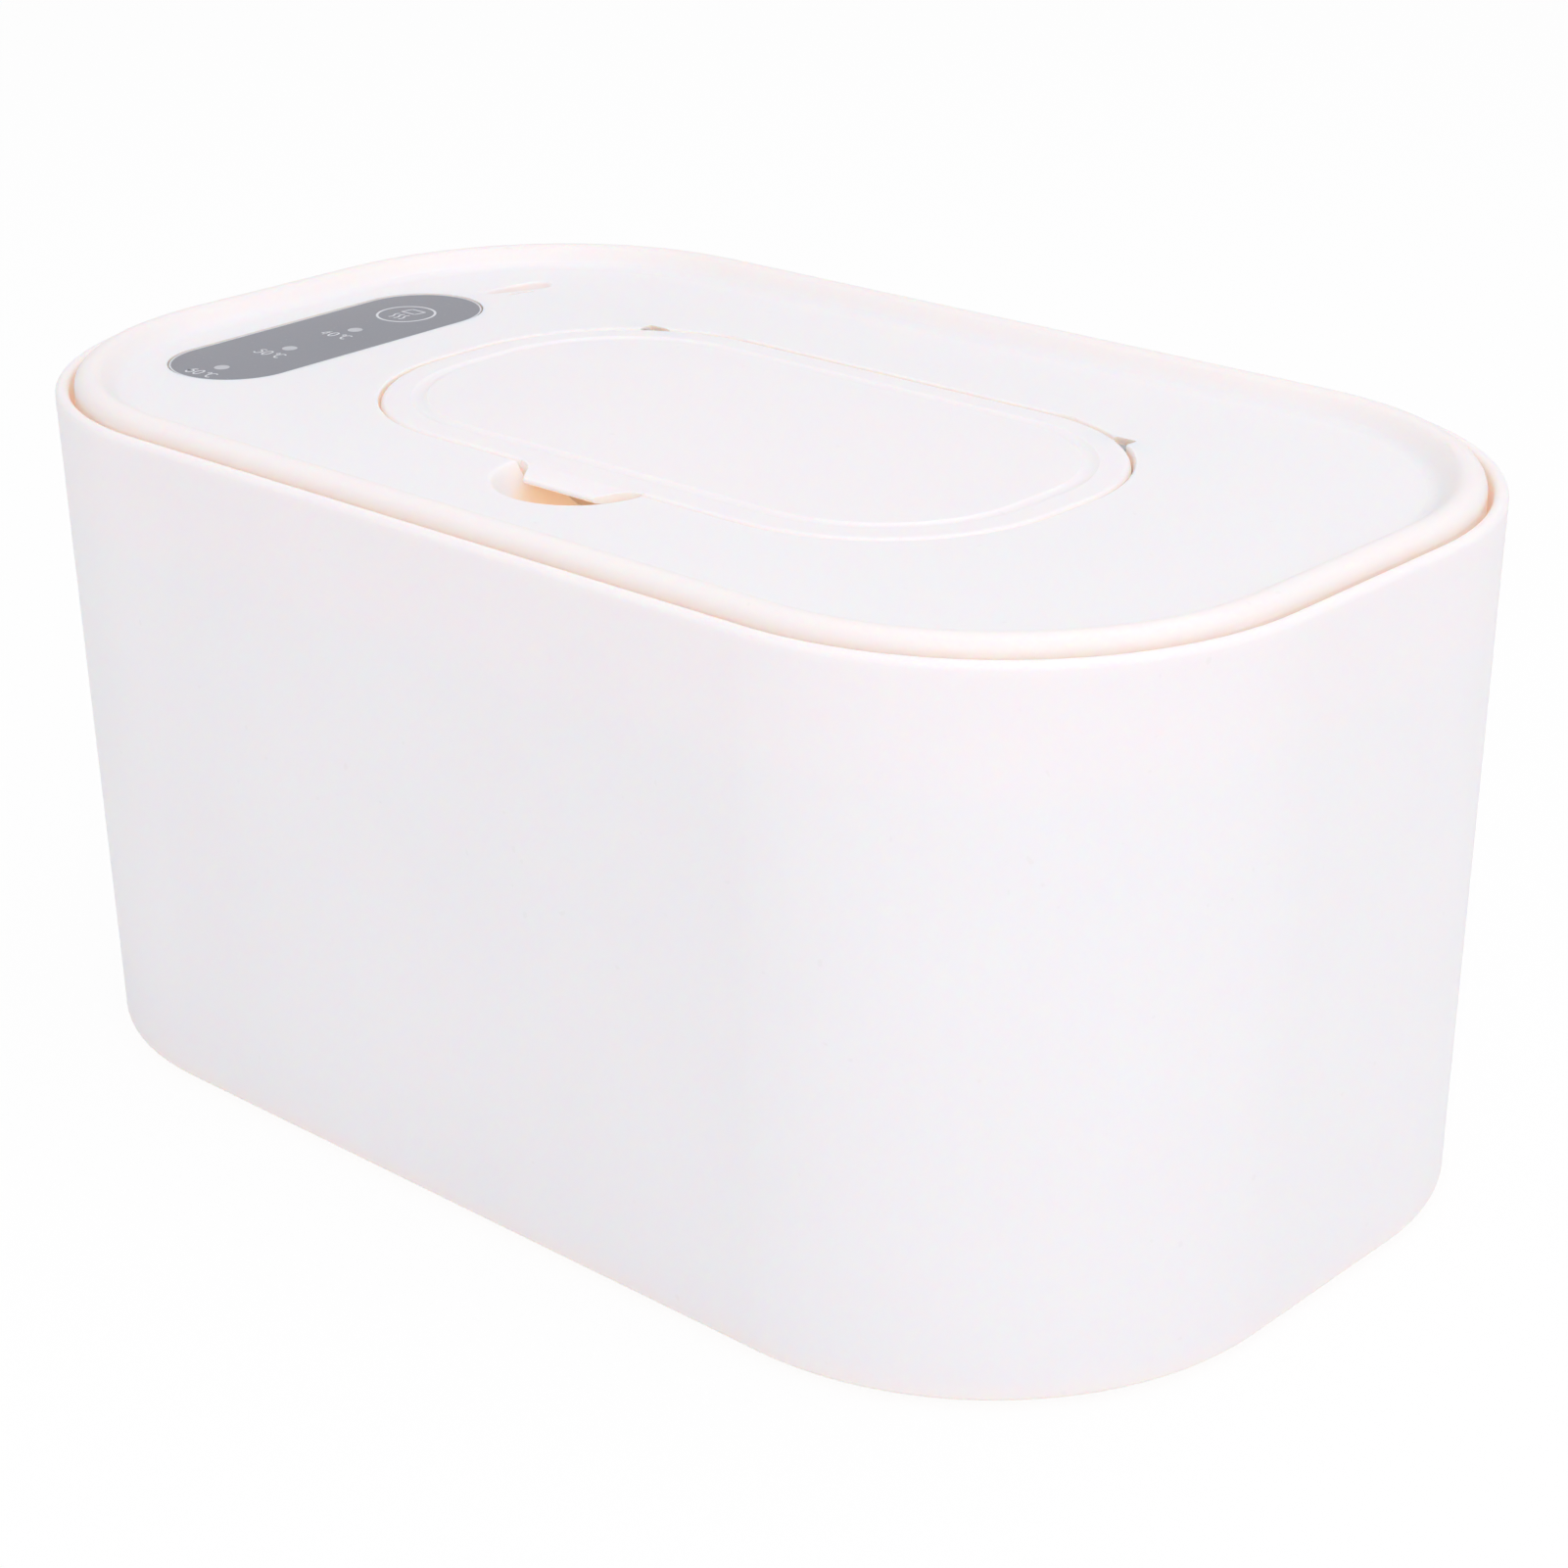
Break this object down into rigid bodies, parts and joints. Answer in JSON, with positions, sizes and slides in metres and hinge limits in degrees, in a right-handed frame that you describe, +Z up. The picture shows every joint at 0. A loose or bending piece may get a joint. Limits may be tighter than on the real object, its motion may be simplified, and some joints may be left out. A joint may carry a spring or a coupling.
{
  "type": "baby wipe warmer",
  "caption": "Countertop baby wipe warmer: tapered rounded box with a wipe bin and heater, lift-off lid with touch panel, and a flip door over the dispensing mouth.",
  "frame": {"origin": "centre of the footprint, on the surface that the feet stand on", "axes": "+X along the body, away from the touch panel; +Y from the finger tab at the front to the door hinge at the rear; +Z up"},
  "size_m": [0.23, 0.139, 0.1125],
  "materials": {
    "shell_plastic": "satin moulded",
    "liner_plastic": "satin moulded",
    "spreader_metal": "rolled sheet",
    "film": "polyimide film",
    "foam": "closed-cell foam",
    "black_plastic": "moulded",
    "steel": "plated",
    "board": "solder mask",
    "foot_rubber": "matt",
    "brass": "plated",
    "lead_sleeve": "matt sleeve",
    "silicone": "soft matt",
    "panel": "satin printed sheet",
    "lamp": "moulded",
    "clear_plastic": "clear moulded"
  },
  "bodies": {
    "body": {"outer_shell": "shell_plastic", "inner_bin": "liner_plastic", "heat_spreader": "spreader_metal", "heating_film": "film", "insulation_pad": "foam", "insulation_sleeve": "foam", "temperature_sensor": "black_plastic", "thermal_fuse": "steel", "power_board": "board", "power_inlet": "black_plastic", "base_cover": "shell_plastic", "base_screws": "steel", "foot_front_left": "foot_rubber", "foot_front_right": "foot_rubber", "foot_rear_left": "foot_rubber", "foot_rear_right": "foot_rubber", "contact_block": "black_plastic", "contact_pads": "brass", "heater_leads": "lead_sleeve", "lid_leads": "lead_sleeve"},
    "lid": {"lid_cover": "shell_plastic", "lid_liner": "liner_plastic", "lid_seal": "silicone", "lid_screws": "steel", "touch_panel": "panel", "control_board": "board", "board_screws": "steel", "status_lamps": "lamp", "light_guide_40": "clear_plastic", "light_guide_50": "clear_plastic", "light_guide_60": "clear_plastic", "touch_pad": "foam", "pin_block": "black_plastic", "spring_pins": "brass", "board_leads": "lead_sleeve", "dispensing_insert": "silicone", "hinge_pin_left": "steel", "hinge_pin_right": "steel"},
    "door": {"flip_door": "shell_plastic", "door_liner": "liner_plastic", "door_seal": "silicone"}
  },
  "joints": [
    {"name": "lid_lift", "type": "slide", "parent": "body", "child": "lid", "axis": [0, 0, 1], "range_m": [0, 0.1]},
    {"name": "door_hinge", "type": "hinge", "parent": "lid", "child": "door", "pos_m": [0, 0.03025, 0.10795], "axis": [-1, 0, 0], "range_deg": [0, 100]}
  ]
}
